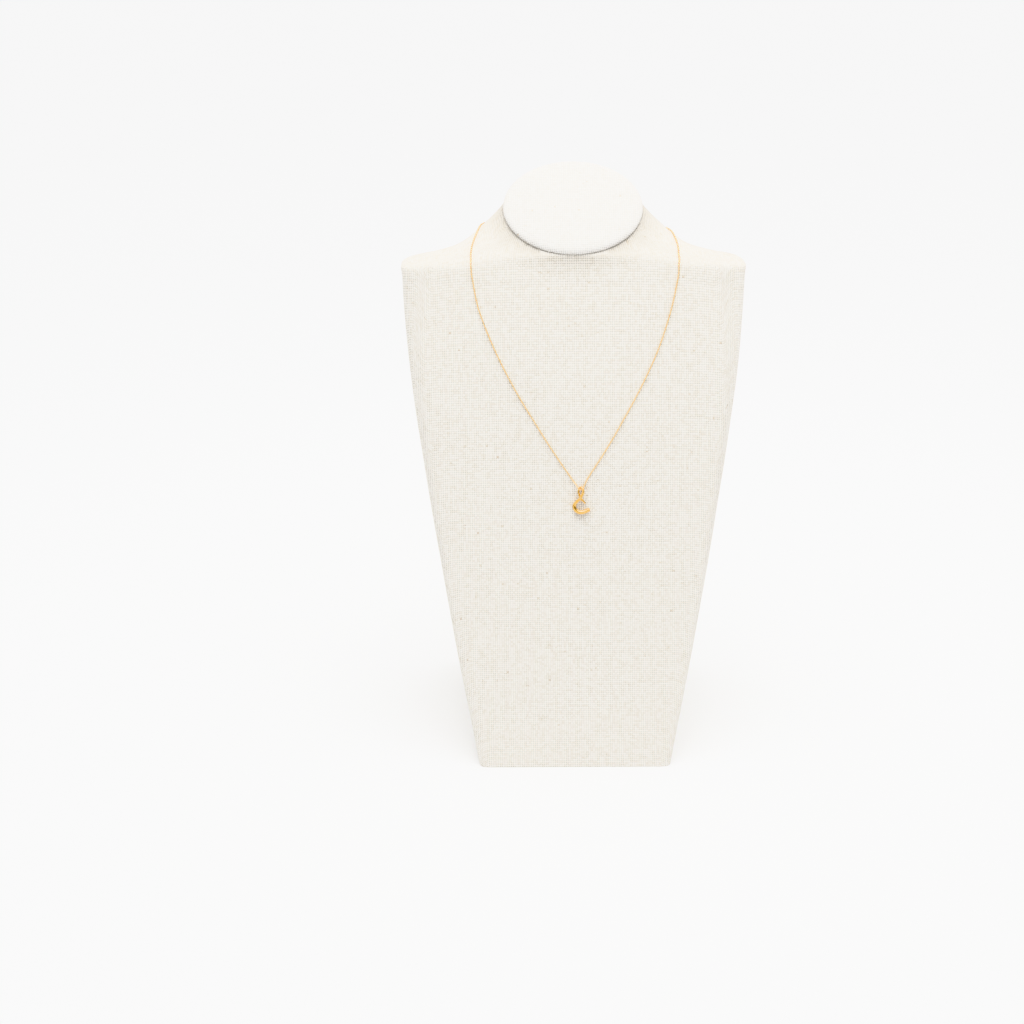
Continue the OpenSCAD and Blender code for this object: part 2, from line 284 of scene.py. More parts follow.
# %% [markdown]
# The cover is laid as rings. They sit close together over the shoulders, where the form
# turns sharply, and further apart down the flat chest. At the foot the cloth rolls over a
# small rounded edge and is tucked under as a hem. At the neck's top it is pushed up into a
# tiny fold, which fills the seam under the cap, so that no open gap shows there.

# %% Rings of the cover
CORNER_PULL = 11
RINGS_PER_ROW = [6, 6, 6, 6, 5, 4, 4, 5, 5, 5, 8, 8, 8, 8, 8, 7, 6, 5]
FOOT_ROUND = 0.6
HEM, HEM_THICK, HEM_BEND = 13, 0.8, 0.3
SEAM_FOLD = [
    # millimetres out from the neck's edge, and up from its top
    (0.13, 0.06), (0.26, 0.17), (0.24, 0.27), (0.05, 0.28), (-0.35, 0.24), (-0.85, 0.05),
]
slant_angle = math.radians(NECK_SLANT)
cap_up = np.array([0, -math.sin(slant_angle), math.cos(slant_angle)])

even_turns = 360 * np.arange(208) / 208
seam_turns = 180 + np.array([-1.5, -0.9, -0.5, -0.25, 0.25, 0.5, 0.9, 1.5])
COVER_TURNS = np.sort(np.concatenate([even_turns, seam_turns]))
SEAM_COLUMN = int(np.argmin(abs(COVER_TURNS - 180)))
COVER_POINTS = len(COVER_TURNS)


def section_ring(row, turns=COVER_TURNS):
    pulled = turns + CORNER_PULL * (1 - 2 / row[5]) * np.sin(np.radians(4 * turns))
    return round_section(row, pulled)


def narrower(row, inset):
    row = row.copy()
    row[2:4] -= inset
    return row


def scaled(row, share):
    row = row.copy()
    row[2:4] *= share
    return row


def level_ring(row, height, turns=COVER_TURNS):
    ring = section_ring(row, turns)
    ring[:, 2] = height
    return ring


def foot_rings():
    """Rings from the hem's inner edge, along the underside and round the foot's edge."""
    foot = section(0)
    for inset, lift in ((HEM, HEM_THICK), (HEM, HEM_BEND / 2), (HEM - HEM_BEND, 0), (HEM / 2, 0)):
        yield level_ring(narrower(foot, inset), lift)
    for a in np.radians(np.arange(0, 90, 15)):
        height = FOOT_ROUND * (1 - math.cos(a))
        inset = FOOT_ROUND * (1 - math.sin(a))
        yield level_ring(narrower(section(height / SHOULDER_H), inset), height)


def wall_rings():
    rows = SECTIONS[:, 0]
    yield section_ring(section(FOOT_ROUND / SHOULDER_H))
    for i, count in enumerate(RINGS_PER_ROW):
        for j in range(1, count + 1):
            yield section_ring(section(rows[i] + (rows[i + 1] - rows[i]) * j / count))


def neck_top_rings():
    """The fold that fills the seam under the cap, and then the neck's flat top."""
    for outset, lift in SEAM_FOLD:
        yield section_ring(narrower(section(2), -outset)) + lift * cap_up
    for share in (0.9, 0.6, 0.3, 0.02):
        yield section_ring(scaled(section(2), share))


cover_grid = np.array([*foot_rings(), *wall_rings(), *neck_top_rings()])
print("rings of the cover", len(cover_grid), "with", COVER_POINTS, "points each")

# %% [markdown]
# Hand-covered forms are never perfectly true: the padding under the cloth leaves shallow
# swells a tenth of a millimetre or two deep, and the cloth sinks in along the seam behind,
# more at each stitch. Both are cut into the rings along the surface's own normals, so that
# they are real shape and not only shading.

# %% Swells in the padding and the seam behind
SWELL = 0.12
SWELLS_END = NECK_H - 30
SWELLS_FADE = 12
SEAM_DEPTH, SEAM_WIDTH, SEAM_START = 0.45, 0.8, 3
STITCH_PITCH = 5.0


def swells(points):
    x, y, z = points[..., 0], points[..., 1], points[..., 2]
    slow = np.sin(x / 17 + 1.3 * np.sin(z / 31)) * np.sin(z / 23 + 0.7)
    quick = 0.6 * np.sin((x + y) / 11 + z / 13) + 0.4 * np.sin(z / 9 - x / 7)
    return SWELL * (slow + quick - 2) / 2


def grid_normals(grid):
    around = np.roll(grid, -1, axis=1) - np.roll(grid, 1, axis=1)
    normal = np.cross(around, np.gradient(grid, axis=0))
    length = np.linalg.norm(normal, axis=2, keepdims=True)
    return normal / np.maximum(length, 1e-9)


height = cover_grid[..., 2]
wall = (np.clip(height / SWELLS_FADE, 0, 1)
        * np.clip((SWELLS_END - height) / SWELLS_FADE, 0, 1))
behind = cover_grid[..., 1] > np.array([section(1)[1]])
stitched = 0.75 + 0.25 * np.cos(2 * math.pi * height / STITCH_PITCH)
seam = SEAM_DEPTH * stitched * np.exp(-(cover_grid[..., 0] / SEAM_WIDTH) ** 2) * behind
seam *= np.clip(height / SEAM_START, 0, 1)
depth = swells(cover_grid) * wall - seam
cover_points = cover_grid + grid_normals(cover_grid) * depth[..., None]
bust_cover = make_piece("bust_cover", cover_points.reshape(-1, 3),
                        lay_faces(len(cover_grid), COVER_POINTS), cloth_corners(cover_grid))

# %% [markdown]
# Thread, wire and bolt are all round rods that follow a path. A curve object with a bevel
# could make them, but it gives no say over each ring, so one helper lays the rings itself.
# A second helper joins several such rods into one mesh.

# %% Tubes along a path
def tube(points, radii, facing, sides):
    """Points and faces of a round rod with closed ends. Facing is a direction beside it."""
    points = np.asarray(points, float)
    count = len(points)
    radii = np.broadcast_to(radii, count)
    before = points[np.maximum(np.arange(count) - 1, 0)]
    after = points[np.minimum(np.arange(count) + 1, count - 1)]
    along = unit(after - before)
    side = unit(np.cross(np.broadcast_to(facing, points.shape), along))
    out = np.cross(along, side)
    a = 2 * math.pi * np.arange(sides) / sides
    ring = (np.cos(a)[:, None, None] * side + np.sin(a)[:, None, None] * out)
    skin = points[:, None] + radii[:, None, None] * ring.transpose(1, 0, 2)
    faces = lay_faces(count, sides)
    last = (count - 1) * sides
    faces.append(tuple(range(sides - 1, -1, -1)))
    faces.append(tuple(range(last, last + sides)))
    return skin.reshape(-1, 3), faces


def joined(parts):
    """One list of points and one of faces from several."""
    points, faces, start = [], [], 0
    for some_points, some_faces in parts:
        points.append(some_points)
        faces += [tuple(start + i for i in face) for face in some_faces]
        start += len(some_points)
    return np.concatenate(points), faces


rod_points, rod_faces = tube([(0, 0, 0), (0, 0, 1)], 0.5, (1, 0, 0), 8)
print("the shortest rod has", len(rod_points), "points and", len(rod_faces), "faces")

# %% [markdown]
# The seam behind is closed by hand with a ladder stitch: short bars of thread that cross the
# seam from fold to fold. Each bar is a small bent rod, thick enough to catch the light. All
# of them are one mesh, because they are one thread. The stitches stop where the clasp lies.

# %% Ladder stitches
CLASP_UP, CLASP_ROOM = 1.50, 0.16
STITCH_THREAD, STITCH_REACH, STITCH_RISE = 0.34, 1.3, 0.3
BODY_STITCHES, NECK_STITCHES = (0.03, 0.985), (1.12, 1.85)
BACK = 180


def stitch_bar(up):
    """A bar of thread across the seam that dives into the cloth at both ends."""
    middle, normal = on_bust(up, BACK), bust_normal(up, BACK)
    turns = np.radians(np.linspace(-90, 90, 9))
    path = [middle + [STITCH_REACH * math.sin(a), 0, 0]
            + normal * (STITCH_RISE * math.cos(a) - STITCH_THREAD) for a in turns]
    return tube(path, STITCH_THREAD / 2, normal, 8)


stitch_ups = [*np.arange(*BODY_STITCHES, STITCH_PITCH / SHOULDER_H),
              *np.arange(*NECK_STITCHES, STITCH_PITCH / NECK_RISE)]
stitch_bars = [stitch_bar(up) for up in stitch_ups if abs(up - CLASP_UP) > CLASP_ROOM]
seam_thread = make_piece("seam_thread", *joined(stitch_bars))
print("stitches", len(stitch_bars))

# %% [markdown]
# Under the foot the hem leaves a panel bare, where the form's fibreboard base shows. It is a
# thin plate a little above the surface, and its edge is tucked behind the hem.

# %% Base board
BOARD_THICK, BOARD_ROUND, BOARD_GAP = 2.0, 0.4, 0.05


def plate(row, low, high, round_edge, turns):
    """A flat plate with rounded edges in the outline of a level section."""
    middle, half = (low + high) / 2, (high - low) / 2
    below = [level_ring(scaled(row, share), low, turns) for share in (0.02, 0.5)]
    edge = [level_ring(narrower(row, round_edge * (1 - math.cos(a))),
                       middle + half * math.sin(a), turns)
            for a in np.radians(np.arange(-90, 91, 22.5))]
    above = [level_ring(scaled(row, share), high, turns) for share in (0.5, 0.02)]
    return np.array(below + edge + above)


def closed_faces(rings, points):
    last = (rings - 1) * points
    return (lay_faces(rings, points)
            + [tuple(range(points - 1, -1, -1)), tuple(range(last, last + points))])


board_grid = plate(narrower(section(0), HEM - 1), HEM_THICK + BOARD_GAP, HEM_THICK + BOARD_THICK,
                   BOARD_ROUND, even_turns[::2])
foot_board = make_piece("foot_board", board_grid.reshape(-1, 3),
                        closed_faces(*board_grid.shape[:2]))

# %% [markdown]
# The neck ends in a cap of its own: a padded oval disc, covered in the same linen and set
# on the slant. Its rim stands a little proud of the neck, and the thin dark line under it is
# where the two covers meet. The solid's rim is a plain half circle. Padding gives a large
# soft round above and a small one below, and that keeps the shaded underside as thin as it
# is on the real cap.

# %% Cap rings
CAP_T, CAP_LIP, CAP_SWELL = 3.0, 0.6, 0.8
SEAM_GAP = 0.3
CAP_TUCK, CAP_PILLOW = 0.5, 4.0
CAP_POINTS = 168
CROWN_TURNS = [6, 12, 19, 26, 33, 40, 47, 54, 61, 68, 75, 82, 87]
cap_turns = 360 * np.arange(CAP_POINTS) / CAP_POINTS
neck_top = section(2)
cap_back = np.array([0, math.cos(slant_angle), math.sin(slant_angle)])
cap_centre = np.array([0, neck_top[1], neck_top[0]])


def cap_ring(inset, lift):
    row = narrower(neck_top, inset - CAP_LIP)
    return section_ring(row, cap_turns) + lift * cap_up


def rim_ring(a):
    """A ring of the rim at an angle, from straight down at its bottom to straight up on top."""
    wide, high = (CAP_TUCK, CAP_TUCK) if a < 0 else (CAP_PILLOW, CAP_T - CAP_TUCK)
    return cap_ring(wide * (1 - math.cos(a)), SEAM_GAP + CAP_TUCK + high * math.sin(a))


cap_reach = NECK_D / 2 + CAP_LIP
pad = cap_reach - CAP_PILLOW
under = [cap_ring(CAP_TUCK + (cap_reach - CAP_TUCK) * share, SEAM_GAP)
         for share in (0.97, 0.5, 0.15)]
rim = [rim_ring(a) for a in np.radians(np.arange(-90, 91, 10))]
crown = [cap_ring(CAP_PILLOW + pad * (1 - math.cos(a)), SEAM_GAP + CAP_T + CAP_SWELL * math.sin(a))
         for a in np.radians(CROWN_TURNS)]
cap_grid = np.array(under + rim + crown)
print("cap rings", len(cap_grid))

# %% [markdown]
# The cap's cloth lies flat on top and bends down over the rim, so its threads run straight
# across the top. Past the rim's top each point's place goes on outwards by the distance
# that the cloth has travelled round the rim. Where it is gathered in under the rim it
# puckers, in small waves that die away over the edge.

# %% Cap cover
PUCKER, PUCKERS_ROUND, PUCKER_RINGS = 0.06, 61, 3.0


def cap_places(grid, top_ring):
    """Places on the cloth, flat on the cap's top and carried on round its rim."""
    flat = np.stack([grid[..., 0], (grid - cap_centre) @ cap_back], axis=-1)
    outward = unit(flat[top_ring])
    steps = np.linalg.norm(np.diff(grid, axis=0), axis=2)
    places = flat.copy()
    travelled = np.zeros(grid.shape[1])
    for r in range(top_ring - 1, -1, -1):
        travelled = travelled + steps[r]
        places[r] = flat[top_ring] + outward * travelled[:, None]
    return places


def corners_of(faces, places):
    flat = places.reshape(-1, 2)
    return [flat[i] for face in faces for i in face]


cap_faces = closed_faces(*cap_grid.shape[:2])
rings_from_edge = (np.arange(len(cap_grid)) - len(under)) / PUCKER_RINGS
waves = PUCKER * np.sin(np.radians(cap_turns) * PUCKERS_ROUND)
puckers = waves * np.exp(-rings_from_edge ** 2)[:, None]
cap_points = cap_grid + grid_normals(cap_grid) * (puckers - PUCKER)[..., None]
cap_cover = make_piece("cap_cover", cap_points.reshape(-1, 3), cap_faces,
                       corners_of(cap_faces, cap_places(cap_grid, len(under) + len(rim) - 1)))

# %% [markdown]
# The letter and the chain both follow a few listed places. A curve that passes
# through every one of them, and bends evenly in between, joins them up.

# %% A smooth curve through rows
def smooth_curve(rows, steps):
    """Points on a curve through all the rows, steps of them from each row to the next."""
    rows = np.asarray(rows, float)
    last = len(rows) - 1
    found = []
    for i in range(last):
        before, start = rows[max(i - 1, 0)], rows[i]
        end, after = rows[i + 1], rows[min(i + 2, last)]
        for t in np.arange(steps) / steps:
            found.append(start + t * (end - before + t * (2 * before - 5 * start + 4 * end - after
                         + t * (3 * start - 3 * end + after - before))) / 2)
    found.append(rows[last])
    return np.array(found)


print("through 0, 1 and 0 it goes", smooth_curve([[0], [1], [0]], 2).ravel())

# %% [markdown]
# The pendant is one gold wire, bent as a goldsmith bends it: the thin tip of the upper arm,
# up round a loop that the chain hangs in, across its own start and down round the bowl to a
# blunt end. The same rows as the solid's are swept here with many more sides and rings, so
# that the polish reflects without facets. Across and rise are shares of the loop's size above
# the crossing and of the bowl's below it. Lift and thick are shares of the wire's thickness.

# %% Letter wire
BOWL_H, BOWL_W = 8.0, 8.7
LOOP_H, LOOP_W = 5.8, 2.8
WIRE_D, WIRE_STEPS, WIRE_SIDES = 2.0, 12, 32
LETTER_X, LETTER_UP = 3.2, 0.559
LETTER_ROWS = np.array([
    # across, rise, lift, thick
    [0.29, -0.36, 0.50, 0.38],
    [0.16, -0.20, 0.48, 0.52],
    [0.00, 0.00, 0.46, 0.56],
    [-0.38, 0.54, 0.42, 0.50],
    [-0.27, 0.85, 0.50, 0.50],
    [0.10, 1.00, 0.78, 0.52],
    [0.48, 0.85, 1.10, 0.58],
    [0.50, 0.55, 1.22, 0.62],
    [0.24, 0.24, 1.16, 0.64],
    [0.00, 0.00, 1.14, 0.66],
    [-0.17, -0.17, 1.06, 0.74],
    [-0.34, -0.37, 0.86, 0.88],
    [-0.40, -0.56, 0.68, 0.96],
    [-0.35, -0.77, 0.65, 0.98],
    [-0.20, -0.94, 0.65, 1.00],
    [0.04, -1.00, 0.65, 1.00],
    [0.29, -0.94, 0.65, 1.00],
    [0.54, -0.82, 0.65, 0.98],
])


def turn_at(up, x):
    row = section(up)
    share, corners = x / row[2], row[5]
    return math.degrees(math.atan2(share, (1 - abs(share) ** corners) ** (1 / corners)))


def by_letter(across, rise, distance):
    """The place that is across and rise from the letter's crossing, as up, turn, distance."""
    up = LETTER_UP + rise * math.cos(math.radians(CHEST_LEAN)) / SHOULDER_H
    return up, turn_at(up, LETTER_X + across), distance


def letter_size(row):
    """A row in millimetres from the crossing, with the wire's radius as its thickness."""
    above = row[1] > 0
    return [row[0] * (LOOP_W if above else BOWL_W), row[1] * (LOOP_H if above else BOWL_H),
            row[2] * WIRE_D, row[3] * WIRE_D / 2]


letter_rows = smooth_curve([letter_size(row) for row in LETTER_ROWS], WIRE_STEPS)
letter_path = np.array([over_bust(*by_letter(*row[:3])) for row in letter_rows])
letter_radii = letter_rows[:, 3]
letter_facing = bust_normal(LETTER_UP, turn_at(LETTER_UP, LETTER_X))
wire_length = np.linalg.norm(np.diff(letter_path, axis=0), axis=1).sum()
print("letter wire is", round(wire_length, 1), "mm long")

# %% [markdown]
# Both ends of the wire are rounded off with a small radius, as a file and the polish leave
# them. A few more rings past each end shrink along a quarter circle.

# %% Letter piece
TIP_ROUND = 0.15 * WIRE_D


def round_tip(end, before, radius):
    """Points and radii of the rings that close an end of the wire."""
    way = unit(end - before)
    turns = np.radians([18, 36, 54, 72, 86])
    points = [end + way * TIP_ROUND * math.sin(a) for a in turns]
    return points, [radius - TIP_ROUND * (1 - math.cos(a)) for a in turns]


start_points, start_radii = round_tip(letter_path[0], letter_path[1], letter_radii[0])
end_points, end_radii = round_tip(letter_path[-1], letter_path[-2], letter_radii[-1])
wire_points = np.array([*start_points[::-1], *letter_path, *end_points])
wire_radii = np.array([*start_radii[::-1], *letter_radii, *end_radii])
letter = make_piece("letter_wire", *tube(wire_points, wire_radii, letter_facing, WIRE_SIDES))

# %% [markdown]
# The clasp lies behind the neck: a spring ring, the chain's end link on its eye, and the
# catch ring that it closes on. Their places along a level line across the back of the neck
# are the solids', and the chain has to start and end at them.

# %% Places of the clasp's rings
CLOTH_GAP, METAL_GAP = 0.25, 0.15
CLASP_D, CLASP_T = 5.6, 1.0
EYE_D, END_LINK_D, CATCH_D, RING_WIRE = 2.2, 2.45, 3.4, 0.5
RING_TILT = 50
back_lift = CLOTH_GAP + CATCH_D / 2 * math.sin(math.radians(RING_TILT))
eye_sunk = 0.9 * RING_WIRE
eye_x = -CLASP_D / 2 + eye_sunk - EYE_D / 2
end_link_x = eye_x + RING_WIRE / 2 - END_LINK_D / 2
catch_x = CLASP_D / 2 - CLASP_T - 1.5 * METAL_GAP - RING_WIRE + CATCH_D / 2
clasp_middle = over_bust(CLASP_UP, BACK, back_lift)
back_normal = bust_normal(CLASP_UP, BACK)
print("clasp at", clasp_middle.round(1), "with", round(catch_x - end_link_x, 2),
      "mm from its end link to its catch ring")

# %% [markdown]
# The chain lies on the linen and falls from the shoulders to the pendant. Its way is a short
# list of places chosen from the photograph, each a height on the bust's scale and
# the angles at which the left and right halves pass, with seven more where it goes through
# the letter's loop: over the loop's left side, and behind its right. A smooth curve joins
# the places, and each point of it is then dropped onto the cover.

# %% The chain's way
CHAIN_D = 0.9
CHAIN_ROUTE = np.array([
    # left up, left turn, right up, right turn
    [1.515, 160, 1.505, 160],
    [1.535, 143, 1.508, 143],
    [1.56, 129, 1.507, 129],
    [1.568, 117, 1.497, 117],
    [1.553, 105.5, 1.488, 105],
    [1.527, 93, 1.478, 93],
    [1.505, 77, 1.471, 78],
    [1.488, 65, 1.463, 64],
    [1.45, 54.5, 1.43, 53.5],
    [1.36, 44.3, 1.34, 43.5],
    [1.245, 34.2, 1.228, 33.3],
    [1.14, 31.1, 1.12, 31.6],
    [1.014, 30.9, 1, 31.4],
    [0.941, 29.2, 0.94, 29.6],
    [0.861, 25.3, 0.859, 26.4],
    [0.779, 19.9, 0.778, 21.7],
    [0.698, 12.6, 0.697, 15.3],
    [0.65, 7.5, 0.65, 10.8],
])
BIGHT_ROWS = np.array([
    # across, rise, lift
    [-1.87, 1.14, -1],
    [-0.83, 0.45, 0.72],
    [-0.30, 0.09, 1.18],
    [0.10, 0.00, 0.50],
    [0.44, 0.05, -0.05],
    [0.84, 0.45, -1],
    [1.55, 1.14, -1],
])
LINK_LIFT = 0.08
ROUTE_STEPS = 16
on_cloth = CHAIN_D / 2 + LINK_LIFT
loop_left, loop_top, loop_right = (letter_size(LETTER_ROWS[i]) for i in (4, 5, 6))
over_loop = loop_left[2] + loop_left[3] + CHAIN_D / 2 + METAL_GAP
under_loop = loop_right[2] - loop_right[3] - CHAIN_D / 2 - METAL_GAP
chain_low = loop_top[1] - loop_top[3] - CHAIN_D / 2 - 2 * METAL_GAP

bight = [by_letter(across * LOOP_W, chain_low + rise * LOOP_H,
                   max(on_cloth, under_loop + lift * (over_loop - under_loop)))
         for across, rise, lift in BIGHT_ROWS]
left_side = [(up, -turn, on_cloth) for up, turn, _, _ in CHAIN_ROUTE]
right_side = [(up, turn, on_cloth) for _, _, up, turn in CHAIN_ROUTE[::-1]]
knots = np.array([[*on_bust(up, turn), distance]
                  for up, turn, distance in left_side + bight + right_side])


def laid_on_cover(point, distance):
    """The nearest place on the cover, lifted off it, and the cloth's outward direction."""
    _, place, outward, _ = bust_cover.closest_point_on_mesh(Vector(point) * MM)
    return np.array(place) / MM + distance * np.array(outward), np.array(outward)


laid = [laid_on_cover(knot[:3], knot[3]) for knot in smooth_curve(knots, ROUTE_STEPS)]
route_points, route_outward = (np.array(part) for part in zip(*laid))
print("chain's way has", len(route_points), "points")

# %% [markdown]
# A cable chain is made of oval links of round wire, each through the next and a quarter turn
# from it. On a tight chain they are all one pitch apart: a link's length less two
# thicknesses of its wire. The pitch is trimmed a little, so that a whole number of links
# joins the end link to the catch ring.

# %% Pitch of the links
LINK_L, LINK_W, LINK_WIRE = 1.5, 0.9, 0.27
CHAIN_START = np.array([2.4, 0, 0])
CHAIN_SINK = np.array([0, -0.06, 0])
left_joint = clasp_middle + [end_link_x - (END_LINK_D - RING_WIRE) / 2, 0, 0]
right_joint = clasp_middle + [catch_x + (CATCH_D - RING_WIRE) / 2, 0, 0]
chain_knots = np.vstack([left_joint, left_joint - CHAIN_START + CHAIN_SINK, route_points,
                         right_joint + CHAIN_START + CHAIN_SINK, right_joint])
chain_line = smooth_curve(chain_knots, 3)
steps = np.linalg.norm(np.diff(chain_line, axis=0), axis=1)
walked = np.concatenate([[0], np.cumsum(steps)])
chain_length = walked[-1] + RING_WIRE
links = round(chain_length / (LINK_L - 2 * LINK_WIRE))
pitch = chain_length / links
print("chain", round(walked[-1], 1), "mm,", links, "links,", round(pitch, 3), "mm apart")


def along_chain(s):
    """Points at distances along the chain, carried on straight past its two ends."""
    inside = np.clip(s, 0, walked[-1])
    points = np.stack([np.interp(inside, walked, chain_line[:, k]) for k in range(3)], axis=-1)
    start_way = unit(chain_line[0] - chain_line[1])
    end_way = unit(chain_line[-1] - chain_line[-2])
    return (points + np.maximum(-s, 0)[:, None] * start_way
            + np.maximum(s - walked[-1], 0)[:, None] * end_way)


# %% [markdown]
# Each link is one closed ring of wire, copied to its place along the chain. Half of them
# lean to one side and half to the other, as links do when a chain lies on a cloth. The lean
# varies a little from link to link, from a seeded draw, and that gives the fine sparkle.

# %% Links
LINK_POINTS, LINK_SIDES = 14, 7
LINK_LEAN, LEAN_SPREAD = 45, 5


def loop_of_wire(line, out, wire, sides):
    """Points and faces of a closed wire that lies flat, from its line and outward ways."""
    a = 2 * math.pi * np.arange(sides) / sides
    across = np.cos(a)[None, :, None] * out[:, None] + np.sin(a)[None, :, None] * [0, 0, 1]
    count = len(line)
    faces = [(i * sides + k, (i + 1) % count * sides + k,
              (i + 1) % count * sides + (k + 1) % sides, i * sides + (k + 1) % sides)
             for i in range(count) for k in range(sides)]
    return (line[:, None] + wire / 2 * across).reshape(-1, 3), faces


def oval_ring(length, width, wire, around, sides):
    """Points and faces of a link lying flat, its length along X, round its middle."""
    half = (length - width) / 2
    bend = (width - wire) / 2
    turns = np.radians(np.linspace(-90, 90, around // 2))
    right = np.stack([half + bend * np.cos(turns), bend * np.sin(turns), 0 * turns], axis=1)
    line = np.vstack([right, right * [-1, -1, 1]])
    way = unit(np.roll(line, -1, axis=0) - np.roll(line, 1, axis=0))
    return loop_of_wire(line, np.cross(way, [0, 0, 1]), wire, sides)


draw = np.random.default_rng(7)
middles = -RING_WIRE / 2 + pitch * (np.arange(links) + 0.5)
places = along_chain(middles)
ways = unit(along_chain(middles + pitch / 2) - along_chain(middles - pitch / 2))
nearest = [int(np.argmin(np.linalg.norm(route_points - place, axis=1))) for place in places]
lifts = route_outward[nearest]
sides = unit(np.cross(ways, lifts))
lifts = np.cross(sides, ways)
leans = np.radians(LINK_LEAN * (-1.0) ** np.arange(links) + draw.normal(0, LEAN_SPREAD, links))
flats = np.cos(leans)[:, None] * lifts + np.sin(leans)[:, None] * sides

link_points, link_faces = oval_ring(pitch + 2 * LINK_WIRE, LINK_W, LINK_WIRE,
                                    LINK_POINTS, LINK_SIDES)
turned = np.stack([ways, np.cross(flats, ways), flats], axis=1)
chain_parts = [(place + link_points @ axes, link_faces) for place, axes in zip(places, turned)]
chain_links = make_piece("chain_links", *joined(chain_parts))

# %% [markdown]
# The clasp is made of bent wire too: open arcs, whose thickness may change on the way, and
# one closed ring for its eye.

# %% Rings of wire
def arc_of_wire(radius, wires, low, high, count, sides):
    """Points and faces of a bent wire round an arc, its thickness given at even steps."""
    turns = np.radians(np.linspace(low, high, count))
    line = np.stack([np.cos(turns), np.sin(turns), 0 * turns], axis=1) * radius
    thick = np.interp(np.linspace(0, 1, count), np.linspace(0, 1, len(wires)), wires)
    return tube(line, thick / 2, (0, 0, 1), sides)


def whole_ring(radius, wire, around, sides, centre):
    """Points and faces of a closed ring of wire, lying flat."""
    turns = 2 * math.pi * np.arange(around) / around
    out = np.stack([np.cos(turns), np.sin(turns), 0 * turns], axis=1)
    return loop_of_wire(np.array(centre) + out * radius, out, wire, sides)


print("a ring of 4 bends and 3 sides has", len(whole_ring(1, 0.1, 4, 3, (0, 0, 0))[1]), "faces")

# %% [markdown]
# The spring ring is a hollow ring with a bolt that slides inside it. The bolt is thinner
# than the ring and has a small lever, and the ring's mouths are rolled to a thicker lip. The
# real ring closes at the lever's side, and its eye is soldered on opposite.

# %% Spring ring
ring_radius = (CLASP_D - CLASP_T) / 2
LEVER_TURN = 65
MOUTH_START, MOUTH_END = LEVER_TURN + 8, 360 - 16
BOLT_START, BOLT_END = -22, LEVER_TURN + 14
TUBE_WIRE, LIP_WIRE, BOLT_WIRE = 0.94, 1.0, 0.7
LEVER_ROWS = [
    # out from the ring's middle line, thickness
    (0, 0.22), (0.5, 0.2), (0.72, 0.3), (0.9, 0.33), (1.02, 0.26), (1.08, 0.08),
]
lip = [LIP_WIRE, LIP_WIRE, TUBE_WIRE, TUBE_WIRE]
tube_wires = [*lip, *[TUBE_WIRE] * 12, *lip[::-1]]
ring_tube = arc_of_wire(ring_radius, tube_wires, MOUTH_START, MOUTH_END, 64, 20)
bolt = arc_of_wire(ring_radius, [BOLT_WIRE, BOLT_WIRE], BOLT_START, BOLT_END, 28, 16)
lever_turn = math.radians(LEVER_TURN)
lever_way = np.array([math.cos(lever_turn), math.sin(lever_turn), 0])
lever_line = [lever_way * (ring_radius + out) for out, _ in LEVER_ROWS]
lever = tube(lever_line, [thick for _, thick in LEVER_ROWS], (0, 0, 1), 14)
eye = whole_ring((EYE_D - RING_WIRE) / 2, RING_WIRE, 36, 14, (eye_x, 0, 0))


def laid_at_back(points):
    """Turns points drawn flat to lie over the back of the neck."""
    lean = math.atan2(-back_normal[1], back_normal[2])
    return points @ np.array(Matrix.Rotation(lean, 3, "X")).T + clasp_middle


spring_points, spring_faces = joined([ring_tube, bolt, lever, eye])
spring_ring = make_piece("spring_ring", laid_at_back(spring_points), spring_faces)

# %% [markdown]
# The finishes are shader nodes, and small helpers keep them readable. These feed a socket
# with a value or with another socket, add a node, a sum, soft noise or a blend, and start a
# node group, which is like a node of one's own making.

# %% Helpers for shader nodes
def feed(tree, socket, value):
    if isinstance(value, bpy.types.NodeSocket):
        tree.links.new(value, socket)
    else:
        socket.default_value = value


def add_node(tree, kind, feeds, **settings):
    """A node with its settings, and with some of its sockets fed."""
    node = tree.nodes.new(kind)
    for name, value in settings.items():
        setattr(node, name, value)
    for name, value in feeds.items():
        feed(tree, node.inputs[name], value)
    return node


def sum_of(tree, what, *values):
    return add_node(tree, "ShaderNodeMath", dict(enumerate(values)), operation=what).outputs[0]


def noise(tree, place, scale, **more):
    """Soft noise from 0 to 1."""
    feeds = {"Vector": place, "Scale": scale, **more}
    return add_node(tree, "ShaderNodeTexNoise", feeds).outputs["Fac"]


def blend(tree, how_much, first, second):
    """A number on its way from the first to the second."""
    return add_node(tree, "ShaderNodeMix", {0: how_much, 2: first, 3: second}).outputs[0]


def new_group(name, takes, gives):
    """An empty node group, with its own input sockets' outputs and its output's inputs."""
    group = bpy.data.node_groups.new(name, "ShaderNodeTree")
    for label, kind, value in takes:
        socket = group.interface.new_socket(name=label, in_out="INPUT", socket_type=kind)
        if value is not None:
            socket.default_value = value
    for label in gives:
        group.interface.new_socket(name=label, in_out="OUTPUT", socket_type="NodeSocketFloat")
    return (group, group.nodes.new("NodeGroupInput").outputs,
            group.nodes.new("NodeGroupOutput").inputs)


print("kinds of shader node", sum(kind.startswith("ShaderNode") for kind in dir(bpy.types)))

# %% [markdown]
# Linen is a plain weave: warp threads run up and weft threads run across, and at each
# crossing the other one lies on top, like a chessboard. A picture of cloth would repeat and
# blur, so the weave is worked out from the place on the cloth. The group is used by every
# linen here. Along each thread a soft noise changes its shade, because flax is spun
# unevenly, and that is what makes linen look like linen from a distance.

# %% Plain weave group
NEXT_THREAD = 0.83
CROWN = 0.45


